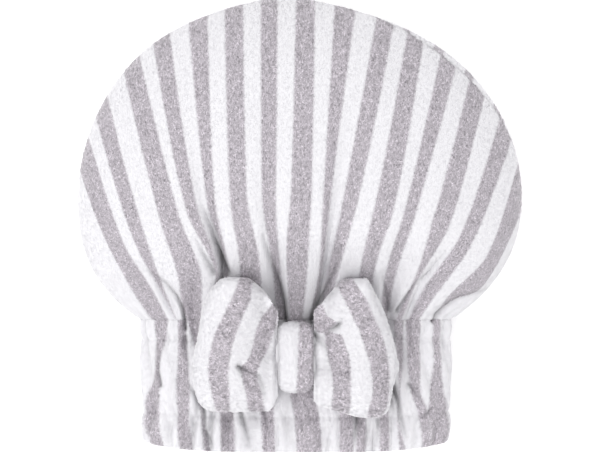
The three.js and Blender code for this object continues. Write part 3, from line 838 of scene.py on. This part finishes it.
ragged = calculate("SUBTRACT", weave_noise(TUFT_ACROSS, TUFT_ALONG, 1), 0.5)
into_grey = calculate("MULTIPLY_ADD", ragged, 2 * EDGE_RAGGED, read_mark("stripe"))
is_grey = remap(into_grey, -EDGE_SOFT, EDGE_SOFT, 0, 1, "SMOOTHSTEP")
streak = calculate("SUBTRACT", weave_noise(STREAK_ACROSS, STREAK_ALONG, 2), 0.5)
# tone varies at random from tuft to tuft; on the ground cloth it also carries painted shade
lightness = calculate("MULTIPLY_ADD", streak, STREAK_CONTRAST, read_mark("tone"))
light_part = remap(lightness, -2, 2, 0, 1)
grey_now = mix_colours(light_part, shade_of(GREY, -2 * GREY_STREAK), shade_of(GREY, 2 * GREY_STREAK))
white_now = mix_colours(light_part, shade_of(WHITE, -2 * WHITE_STREAK), shade_of(WHITE, 2 * WHITE_STREAK))
striped = mix_colours(is_grey, white_now, grey_now)
# painted shade: where the shade mark is set (creases, gather valleys, the rim line, the knot's edges) the
# stripes are darkened towards the shade colour
shaded = mix_colours(read_mark("shade"), striped, PAINTED_SHADE_COLOUR)
links.new(shaded, shader.inputs["Base Color"])

# %% Give it its feel
set_inputs(shader, {
    "Sheen Weight": SHEEN,
    "Sheen Roughness": SHEEN_ROUGHNESS,
    "Specular IOR Level": SPECULAR,
})
links.new(remap(streak, -0.5, 0.5, *ROUGHNESS), shader.inputs["Roughness"])
height = weave_noise(BUMP_ACROSS, BUMP_ALONG, 3)
relief = {"Height": height, "Strength": BUMP_STRENGTH, "Distance": BUMP_DISTANCE}
links.new(add_node("Bump", relief, "Normal"), shader.inputs["Normal"])


def dress(made, *replaced):
    """Puts a finished piece of cloth in the place of its CAD nodes."""
    made.data.materials.append(towelling)
    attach(made, "root")
    if replaced:
        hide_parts(*replaced)


def cover(outer, inner, notes, side, count, seed, loop=False, crisp=False):
    """A closed sheet and the blades on its outer face. side is -1 where the grid faces inwards."""
    sheet = cloth_parts(outer, inner, notes, side, loop, crisp)
    return sheet, grow_pile(outer, notes, side, count, seed, loop)


def make_piece(label, covers, *replaced, bare=()):
    """A piece of cloth and its pile, in the place of its CAD nodes. The bare parts have no pile."""
    sheets, blades = zip(*covers)
    cloth = make_cloth(label + "_cloth", [*sheets, *bare])
    pile = make_pile(label + "_pile", blades)
    dress(cloth, *replaced)
    dress(pile)
    return cloth, pile


print("towelling has", len(nodes), "nodes")

# %% [markdown]
# ## The crown
# Two fan-shaped panels are sewn to each other round the outline and gathered into the band. Each
# one is made as a fine grid of threads: the columns follow the stripes, and the rows go up from the
# neck to the seam. They crowd towards the seam, where the cloth turns over quickly.

# %% Shape a panel of the crown
SOFTNESS = 0.9
FAN_LENGTH = 190  # mm of weave from the neck to the seam
SEAM_CROWD, SIDE_CROWD = 0.28, 0.05  # shares of the threads that crowd at the seam and the sides
SEAM_EASE, SIDE_EASE = 0.06, 0.3  # where the folds fade, as a share of the length and in stripes
FAR_OUTSIDE = -20.0  # mm, for cloth that is far from a stripe or a rim
BACK_WEAVE, BAND_WEAVE, BOW_WEAVE, KNOT_WEAVE = 400, 500, 800, 1500  # mm from the front's weave


def stripe_mark(number, up, spacing, front):
    """How far inside a grey stripe the thread is, in mm."""
    nearest = np.clip(np.round(number), FIRST_STRIPE, LAST_STRIPE)
    grey = np.full(np.broadcast(number, up).shape, GREY_AT_TOP)
    if front:
        for number_of, *_, waist, foot, neck in CROWN_CHART:
            here = smooth_curve(HEIGHTS, [neck, foot, waist, GREY_AT_TOP], up[:, 0])[:, None]
            grey = np.where(nearest == number_of, here, grey)
    return (grey / 2 - np.abs(number - nearest)) * spacing


# the seam shows a little inside the outline on the right of the crown: stripe number, width in mm
RIM = [(-8, 0), (1.6, 0), (2.6, 1.5), (3.6, 4), (5, 4), (6, 1.5), (6.6, 0), (8, 0)]
RIM_SHIFT = 0.3  # stripes between the back panel's stripes and the front's
RIM_PALE = 2.4  # mm less grey in the rim
# painted shade: a thin dark line at the inner edge of the rim, where the front panel turns over
RIM_SHADE, RIM_LINE = 0.22, 0.6
PUFF_LINE = [(436, 321), (438, 315), (447, 307), (459, 299), (483, 292), (502, 285), (520, 278)]
PUFF_WHITE = -3  # mm


def rim_at(x, y, numbers):
    """How far each point lies inside the rim of the back panel, in mm."""
    width = np.interp(numbers, *zip(*RIM))[None, :]
    gap = np.hypot(x - x[-1], y - y[-1])
    return np.where(width > 0, width - gap, FAR_OUTSIDE)


def under_puff(x, y):
    """Where the crown bulges over its lower right corner."""
    line_x, line_y = on_cap(PUFF_LINE).T
    return ease(np.interp(x, line_x, line_y) - y, 0, 1) * (x > line_x[0])


def front_details(x, y, number, up, spacing, stripe):
    """What only the front panel has: creases, the rim of the back panel and the puff."""
    creases, shade = crease_marks(FRONT_CREASES, x, y)
    rim = rim_at(x, y, number[0])
    rim_stripe = stripe_mark(number + RIM_SHIFT, up, spacing, True) - RIM_PALE
    stripe = mix(np.where(rim > 0, rim_stripe, stripe), PUFF_WHITE, under_puff(x, y))
    return creases, np.maximum(shade, RIM_SHADE * bell(rim, RIM_LINE)), stripe


def crown_depth(smooth, number, up, side):
    """How far the folds, ribs and lumps draw a panel in."""
    above_neck = smooth[..., 1] - neck_y
    ribs = ribs_at_neck((smooth[0, :, 0] - BAND_SHIFT) / band_half, side)
    depth = fold_depth(FRONT_FOLDS if side > 0 else BACK_FOLDS, number, up)
    depth += ribs * bell(above_neck, RIB_FADE)
    lumps = wander(number + 2 * up, 21 + side, waves=7, longest=15.4)
    lumps = lumps * wander(up + 0.05 * number, 31, waves=4, longest=1.3)
    return depth + SOFTNESS * lumps * ease(above_neck, 0, 2 * RIB_FADE)


def crown_grids(side, columns, rows):
    """The outer and inner grids of a panel, and its notes. side 1 is the front."""
    ups = crowded(rows, 0, SEAM_CROWD)
    numbers = mix(LEFT_EDGE[0], RIGHT_EDGE[0], crowded(columns, SIDE_CROWD, SIDE_CROWD))
    x, y = crown_places(numbers, ups)
    smooth = np.stack([x, y, face_height(x, y, side)], axis=-1)
    up, number = ups[:, None], numbers[None, :]
    spacing = lengths_of(np.gradient(smooth, axis=1))[..., 0] / np.gradient(numbers)
    normal = facing(smooth, side)
    normal[..., 1] *= ease(up, 0, HEIGHTS[1])
    normal = unit(normal)
    depth = crown_depth(smooth, number, up, side)
    stripe = stripe_mark(number, up, spacing, side > 0)
    shade = np.zeros(depth.shape)
    if side > 0:
        x, y, _ = np.moveaxis(smooth - normal * depth[..., None], -1, 0)
        creases, shade, stripe = front_details(x, y, number, up, spacing, stripe)
        depth += creases
    edge = np.ones_like(depth)
    edge[-1], edge[:, 0], edge[:, -1] = 0, 0, 0
    from_side = np.minimum(number - numbers[0], numbers[-1] - number)
    depth = depth * edge * ease(1 - up, 0, SEAM_EASE) * ease(from_side, 0, SIDE_EASE)
    level = seam_height(smooth[..., 1]) + side * SEAM_GAP / 2
    grids = []
    for wall in (0, CLOTH_WALL):
        grid = smooth - normal * (depth + wall)[..., None]
        grid[..., 1] = np.maximum(grid[..., 1], neck_y)
        height = grid[..., 2] if side > 0 else np.maximum(grid[..., 2], wall)
        grid[..., 2] = np.where(edge == 0, level, height)
        grids.append(grid)
    steps = lengths_of(np.diff(smooth[rows // 2], axis=0))[:, 0]
    over = np.concatenate([[0], np.cumsum(steps)])[None, :]
    return *grids, as_notes(stripe, shade, over + BACK_WEAVE * (side < 0), up * FAN_LENGTH)


# %% Make the two panels
PANELS = [  # side, name, columns, rows, blades
    (1, "crown_front", 300, 120, 150_000),
    (-1, "crown_back", 220, 80, 80_000),
]

for side, label, columns, rows, count in PANELS:
    outer, inner, notes = crown_grids(side, columns, rows)
    covers = [cover(outer, inner, notes, side, count, seed=5 + side, crisp=True)]
    panel, pile = make_piece(label, covers, label + "_panel")

# %% [markdown]
# ## The band
# The band is a tube of cloth with elastic between two lines of stitching. The elastic pulls it in,
# so it stands in ribs, with small puckers where the stitches hold it and soft puffs between them.
# Below the lower line the cloth is free and makes a little frill.

# %% Turn the band into grids
# painted shade that darkens the deepest valleys between the gathers
VALLEY_DEPTH = 4  # mm
VALLEY_SHADE, VALLEY_SHARPNESS = 0.2, 3


def band_stripe_mark(share, alongs):
    """How far inside a grey stripe the front of the band is, in mm."""
    mark = np.full((len(alongs), len(share)), FAR_OUTSIDE)
    for places, widths in BAND_CHART:
        place = smooth_curve(BAND_HEIGHTS, places, alongs)[:, None] * band_half
        width = smooth_curve(BAND_HEIGHTS, widths, alongs)[:, None]
        mark = np.maximum(mark, width / 2 - np.abs(share[None, :] * band_half - place))
    return mark


def band_grids(columns, rows):
    """The outer and inner grids of the band, and its notes."""
    turns = np.arange(columns) / columns
    angles = np.interp(turns, section_turns, section_angles)
    share, is_front = np.cos(angles), np.sin(angles) > 0
    alongs = np.linspace(0, 1, rows + 1)
    turn, along = turns[None, :], alongs[:, None]
    folds = np.where(is_front, folds_at_neck(share, 1), folds_at_neck(share, -1))
    gathers = gather_depth(turn, along)
    swell = smooth_curve(*zip(*BAND_ROWS), alongs)[:, None]
    depth = gathers - swell + folds * bell((1 - along) * BAND_LENGTH, NECK_FADE)
    x, y = np.broadcast_arrays(BAND_SHIFT + share * band_half, hem_y + along * BAND_LENGTH)
    creases, dark = crease_marks(FRONT_CREASES, x, y)
    depth += np.where(is_front, creases, 0)
    # painted shade: creases and the deepest gather valleys darken the band's colour
    valleys = VALLEY_SHADE * np.clip(gathers / VALLEY_DEPTH, 0, 1) ** VALLEY_SHARPNESS
    shade = np.maximum(np.where(is_front, dark, 0), valleys)
    wall = np.full(depth.shape, CASING_WALL)
    grids = []
    for x, z in (gathered_section(angles[None, :], depth), band_section(angles[None, :], wall)):
        rise = HEM_CORNER_RISE * np.abs(x / band_half) ** 4 * (1 - along) ** 2
        height = np.maximum(band_mid_z + z, LOWEST_POINT)
        grids.append(np.stack([BAND_SHIFT + x, hem_y + along * BAND_LENGTH + rise, height], axis=-1))
    way_round = turn * section_length[-1]
    period = section_length[-1] / 2 / BACK_STRIPES
    back = period / 4 - np.abs(way_round % period - period / 2)
    stripe = np.where(is_front, band_stripe_mark(share, alongs), back)
    return *grids, as_notes(stripe, shade, way_round + BAND_WEAVE, along * BAND_LENGTH)


# %% Make the band
BAND_COLUMNS, BAND_GRID_ROWS = 560, 70
BAND_BLADES = 90_000

band_sheet = band_grids(BAND_COLUMNS, BAND_GRID_ROWS)
covers = [cover(*band_sheet, -1, BAND_BLADES, seed=8, loop=True, crisp=True)]
band, band_pile = make_piece("band", covers, "elastic_band")
print("round the band", round(float(section_length[-1])), "mm")

# %% [markdown]
# ## The bow
# The bow is one wide strip. It is folded into two loops that meet in the middle, where the knot
# squeezes it and sends creases out over each loop. The loops are soft and rest on the band.

# %% Chart the bow
BOW_BELOW_NECK = 22.5
BOW_REACH = 62
BOW_PUFF = 33
BOW_WALL = 4.5
BOW_CREASE_DEPTH = 3.5
KNOT_WIDTH = 21
KNOT_HEIGHT = 44
KNOT_DEPTH = 25
KNOT_WALL = 4
REST_GAP = 1.6
BAND_GIVE = 0.5  # mm
LOOP_EDGE, LOOP_EDGE_ROUND = 0.42, 5
LOOP_SHOULDER = 3.6
LOOP_SETTLE = 0.2
ROOT_HALF_DEPTH = 10.5
ROOT_ROLL, ROOT_ROLL_WIDTH = 4, 2.2
PILE_ROOM = 0.8  # the cloth's ground lies this far inside the CAD model's face
# share of the loop's length from the knot out, top and bottom in mm from the middle of the knot,
# thickness as a share of BOW_PUFF
LEFT_LOOP = np.array([
    (0, 28, -22, 0.5), (0.05, 32, -28, 0.55), (0.12, 37.3, -31, 0.66), (0.25, 43.5, -31.6, 0.8),
    (0.4, 48, -31.6, 0.92), (0.6, 48, -31.6, 1), (0.75, 43, -31.4, 0.98), (0.86, 33.5, -29.6, 0.92),
    (0.93, 15, -26, 0.86), (0.98, 3, -18, 0.8), (1, -2, -12, 0.78),
])
RIGHT_LOOP = np.array([
    (0, 28, -25, 0.5), (0.05, 31, -27.5, 0.55), (0.1, 33, -28.5, 0.62), (0.2, 38.5, -30, 0.76),
    (0.4, 47.2, -32.8, 0.92), (0.6, 47.4, -35, 1), (0.72, 38.5, -35, 0.98), (0.865, 22, -31.5, 0.92),
    (0.945, 8, -14, 0.86), (0.975, 0, -9, 0.8), (1, -3, -7.5, 0.78),
])
# side, place across from -1 at the bottom edge to 1 at the top one, reach, width
LOOP_CREASES = [(-1, 0.05, 0.5, 0.17), (1, 0.42, 0.42, 0.15), (1, -0.22, 0.5, 0.15)]
BOW_MM_PER_PIXEL = 0.589
# depth, half width, darkness of the painted shade and places in the picture, as for the front of the cap
BOW_CREASES = [
    (4, 1.1, 0.8, [(258, 375), (248, 371), (238, 366)]),
    (2.5, 1.2, 0.5, [(252, 389), (246, 379), (240, 369)]),
    (2, 1.6, 0.3, [(267, 398), (263, 387), (259, 376)]),
    (4, 1.1, 0.85, [(326, 333), (333, 328), (339, 324.5)]),
    (2.5, 1, 0.7, [(334, 372.5), (341, 373.5), (348, 372.5)]),
    (2.5, 1.8, 0.3, [(331, 366), (326, 348), (315, 336)]),
    (2, 2, 0.2, [(256, 305), (268, 318), (280, 330)]),
]
# grey stripes on the loops, in mm from the middle of the knot: height, place across, width
BOW_STRIPES = {
    "left_outer": [
        (-35, -42.5, 7), (-27.7, -43.5, 8.8), (-18.8, -44.4, 10.6), (-10, -45.7, 11.5),
        (-1.2, -45.2, 12.4),
        (7.7, -43.5, 12.4), (16.5, -40.8, 12.4), (25.3, -36.9, 11.5), (34.2, -32.5, 11.4),
        (43, -30.2, 8.8), (49, -29, 7),
    ],
    "left_inner": [
        (-32, -23, 9.4), (-21, -24.5, 9.4), (-13.5, -26.7, 8.8), (-8.2, -27.6, 8.8), (-4.7, -27.2, 11.4),
        (-1.2, -24.5, 8), (4.1, -21.6, 9.1), (9.4, -20.1, 9.7), (14.7, -18.7, 10.6), (20, -17, 10.6),
        (25.3, -15.2, 8.8), (31, -13, 4), (35, -12, 0),
    ],
    "right_inner": [
        (-35, 26, 10), (-26, 27, 11), (-15.3, 27.3, 10.2), (-6.5, 26.7, 11.5), (-1.2, 25.8, 12.5),
        (4.1, 24.7, 12),
        (9.4, 23.3, 11.1), (14.7, 22.3, 9.7), (15.9, 15.2, 6.2), (18.3, 15.8, 10.3), (21.8, 17.4, 14.1),
        (25.3, 14.5, 7.6), (30.6, 13.4, 6.2), (35, 13, 0),
    ],
    "right_outer": [
        (-33, 47, 9.7), (-27.7, 48.7, 10.6), (-18.8, 50.4, 9.4), (-10, 50.1, 10.6), (-1.2, 49, 11.1),
        (7.7, 46.6, 12.4), (16.5, 43.8, 12), (25.3, 39.5, 12.4), (34.2, 35.5, 13.2),
        (41.2, 31.6, 12.4), (48, 28.5, 9),
    ],
}
knot_y = neck_y - BOW_BELOW_NECK
knot_z = BAND_DEPTH + SEAM_GAP + KNOT_DEPTH / 2
waist_half_depth = KNOT_DEPTH / 2 - KNOT_WALL - SEAM_GAP
waist_half_height = KNOT_HEIGHT / 2 - KNOT_WALL - SEAM_GAP
loop_start = KNOT_WIDTH / 2 + SEAM_GAP


# %% Shape a loop
def loop_grid(side, turns, across, inset):
    """turns runs from -1 at the knot under the loop to 1 at the knot over it."""
    turn, across = turns[None, :], across[:, None]
    out = 0.5 + 0.5 * np.cos(math.pi * turn)
    rows = LEFT_LOOP if side < 0 else RIGHT_LOOP
    top, bottom, puff = (smooth_curve(rows[:, 0], rows[:, k], out[0])[None, :] for k in (1, 2, 3))
    x = side * (loop_start + out * (BOW_REACH - PILE_ROOM - loop_start - inset)) + 0 * across
    y = mix(bottom, top, (across + 1) / 2)
    under = np.maximum(BAND_DEPTH - BAND_GIVE, face_height(BAND_SHIFT + x, knot_y + y, 1)) + REST_GAP
    at_knot = 1 - ease(out, 0, LOOP_SETTLE)
    bottom_z = mix(under, np.maximum(under, knot_z - ROOT_HALF_DEPTH), at_knot)
    edge = mix(LOOP_EDGE, 1, pillow(np.abs(across), LOOP_EDGE_ROUND))
    full = BOW_PUFF * puff * mix(edge, 1, at_knot)
    half_puff = mix(full / 2, ROOT_HALF_DEPTH, at_knot)
    round_out = pillow(out, LOOP_SHOULDER)
    crease = 0
    for where, place, reach, width in LOOP_CREASES:
        if where == side:
            fade = np.maximum(0, 1 - out / reach)
            crease = crease + BOW_CREASE_DEPTH * fade * bell(across - place, width)
    sharp, shade = crease_marks(BOW_CREASES, BAND_SHIFT + x, knot_y + y, BOW_MM_PER_PIXEL)
    crease = np.where(turn > 0, crease + sharp, 0) * round_out
    roll = ROOT_ROLL * bell(out * (BOW_REACH - loop_start), ROOT_ROLL_WIDTH)
    z = bottom_z + half_puff + np.sign(turn) * ((half_puff - inset) * round_out - roll) - crease
    return np.stack([BAND_SHIFT + x, knot_y + y, z + 0 * x], axis=-1), shade * (turn > 0)


def bow_stripe_mark(x, y):
    """How far inside a grey stripe of the bow each point is, in mm."""
    mark = np.full(x.shape, FAR_OUTSIDE)
    for rows in BOW_STRIPES.values():
        heights, places, widths = np.array(rows).T
        middle = np.interp(y, heights, places)
        width = np.interp(y, heights, widths)
        mark = np.maximum(mark, width / 2 - np.abs(x - middle))
    return mark


# %% Shape the bars that run through the knot
CORNER_POWER = 0.7
BAR_SIDES = 96


def swept_bar(places, scales, half_height, half_depth):
    """A soft-cornered section swept along X, with its scale at each place."""
    angle = 2 * math.pi * np.arange(BAR_SIDES) / BAR_SIDES
    high, deep = (np.sign(part) * np.abs(part) ** CORNER_POWER for part in (np.cos(angle), np.sin(angle)))
    scale = np.broadcast_to(scales, places.shape)[:, None]
    x = BAND_SHIFT + places[:, None]
    y = knot_y + half_height * scale * high
    z = knot_z + half_depth * scale * deep
    return np.stack(np.broadcast_arrays(x, y, z), axis=-1)


# %% Make the bow
LOOP_TURNS, LOOP_ACROSS = 150, 84
BOW_BLADES = 45_000  # on each loop
LOOP_WEAVE = 300  # mm
WAIST_SCALE, CORE_SCALE = 0.75, 0.5
WAIST_STEPS = 9

turns = np.linspace(-1, 1, LOOP_TURNS + 1)
across = 2 * crowded(LOOP_ACROSS, 0.15, 0.15) - 1
covers = []
for side in (-1, 1):
    (outer, shade), (inner, _) = (loop_grid(side, turns, across, inset) for inset in (0, BOW_WALL))
    stripe = bow_stripe_mark(outer[..., 0] - BAND_SHIFT, outer[..., 1] - knot_y)
    steps = lengths_of(np.diff(outer[LOOP_ACROSS // 2], axis=0))[:, 0]
    round_loop = np.concatenate([[0], np.cumsum(steps)])
    notes = as_notes(stripe, shade, outer[..., 1] + BOW_WEAVE, round_loop + LOOP_WEAVE * side)
    covers.append(cover(outer, inner, notes, -side, BOW_BLADES, seed=12 + side))
places = np.linspace(-loop_start - 1, loop_start + 1, WAIST_STEPS)
waist = swept_bar(places, WAIST_SCALE, waist_half_height, waist_half_depth)
core = swept_bar(places, CORE_SCALE, waist_half_height, waist_half_depth)
plain = as_notes(FAR_OUTSIDE, 0, waist[..., 0], waist[..., 1])
bare = [cloth_parts(waist, core, plain, loop=True)]
bow, bow_pile = make_piece("bow", covers, "bow", bare=bare)

# %% [markdown]
# ## The knot
# A narrow strip is wrapped once round the middle of the bow. It is soft too: it swells between its
# edges, and the pull of the bow puts small folds in it.

# %% Make the knot
KNOT_ROWS = 28
KNOT_BLADES = 12_000
KNOT_GREY_FROM = 1.2  # mm from the middle of the knot
KNOT_GREY_LEAN = 0.04
KNOT_EDGE, KNOT_SHOULDER = 0.84, 2.4
KNOT_ROOM = (0.4, 1.5, 1)  # mm that its face lies inside the CAD model's, along X, Y and Z
KNOT_PUFF = 0.72
KNOT_FOLD_DEPTH, KNOT_FOLD_PLACE, KNOT_FOLD_WIDTH = 0.78, 0.15, 0.14
KNOT_FOLD_SWAY, KNOT_FOLD_TURN = 0.1, 9
KNOT_RISE = 0.8
# painted shade along the knot's two edges, where it meets the loops
KNOT_SEAM_SHADE, KNOT_SEAM_WIDTH = 0.25, 0.08
KNOT_STEP = 1.2  # mm round the knot from one side of its section to the next

shares = np.linspace(-1, 1, KNOT_ROWS + 1)
half_width, half_height, half_depth = (
    size / 2 - room for size, room in zip((KNOT_WIDTH, KNOT_HEIGHT, KNOT_DEPTH), KNOT_ROOM)
)
round_edge = mix(KNOT_EDGE, 1, pillow(np.abs(shares), KNOT_SHOULDER))
outer = swept_bar(shares * half_width, round_edge, half_height, half_depth)
inner = swept_bar(shares * KNOT_WIDTH / 2, 1, KNOT_HEIGHT / 2 - KNOT_WALL, KNOT_DEPTH / 2 - KNOT_WALL)
share = shares[:, None]
sway = KNOT_FOLD_SWAY * np.sin(np.arange(BAR_SIDES) / KNOT_FOLD_TURN)
fold = KNOT_FOLD_DEPTH * bell(share - KNOT_FOLD_PLACE + sway, KNOT_FOLD_WIDTH)
away_from_middle = unit((outer - (BAND_SHIFT, knot_y, knot_z)) * (0, 1, 1))
outer += away_from_middle * (KNOT_PUFF * (1 - share**2) - fold)[..., None]
outer[..., 1] += KNOT_RISE
inner[..., 1] += KNOT_RISE
stripe = outer[..., 0] - BAND_SHIFT - KNOT_GREY_FROM - KNOT_GREY_LEAN * (outer[..., 1] - knot_y)
shade = KNOT_SEAM_SHADE * bell(1 - np.abs(share), KNOT_SEAM_WIDTH)
notes = as_notes(stripe, shade, outer[..., 0] + KNOT_WEAVE, KNOT_STEP * np.arange(BAR_SIDES))
covers = [cover(outer, inner, notes, 1, KNOT_BLADES, seed=15, loop=True)]
knot, knot_pile = make_piece("knot", covers, "bow_knot")

# %% [markdown]
# ## Compare with the CAD model
# Cloth may stand a little proud of its CAD solid, because of its pile. The two boxes show how far.

# %% Write both boxes and finish
low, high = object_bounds()
for label, size in (("CAD", cad_high - cad_low), ("visual", high - low)):
    print(label, [round(1000 * side, 1) for side in size], "mm")
